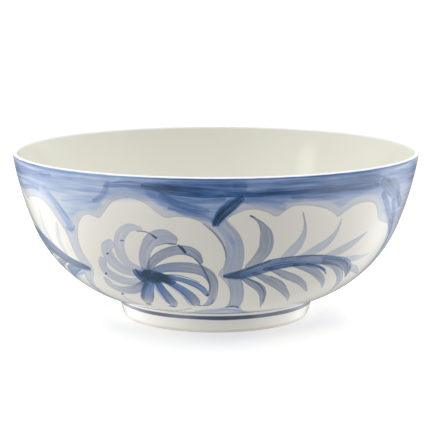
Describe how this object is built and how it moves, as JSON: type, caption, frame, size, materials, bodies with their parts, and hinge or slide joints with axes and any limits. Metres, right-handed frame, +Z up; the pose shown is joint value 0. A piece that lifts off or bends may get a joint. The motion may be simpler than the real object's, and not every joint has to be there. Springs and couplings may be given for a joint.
{
  "type": "serving bowl",
  "caption": "Deep rounded porcelain serving bowl on a foot ring, with a plain glazed inside and blue brush-painted flower and leaf panels round the outside.",
  "frame": {"origin": "on the floor, at the bowl's axis, in the plane of the edge it stands on", "axes": "+Z up along the axis of the bowl; +Y away from the side with the flower in front"},
  "size_m": [0.2599, 0.26, 0.1075],
  "materials": {
    "bare_porcelain": "unglazed, fine matte",
    "plain_glaze": "clear gloss glaze on warm white porcelain",
    "painted_glaze": "clear gloss glaze over cobalt wash brushwork",
    "foot_line_glaze": "clear gloss glaze over one banded cobalt line"
  },
  "bodies": {
    "root": {"bowl_body": "bare_porcelain", "foot_ring": "bare_porcelain", "inside_glaze": "plain_glaze", "outside_glaze": "painted_glaze", "foot_glaze": "foot_line_glaze", "base_glaze": "plain_glaze"}
  },
  "joints": []
}
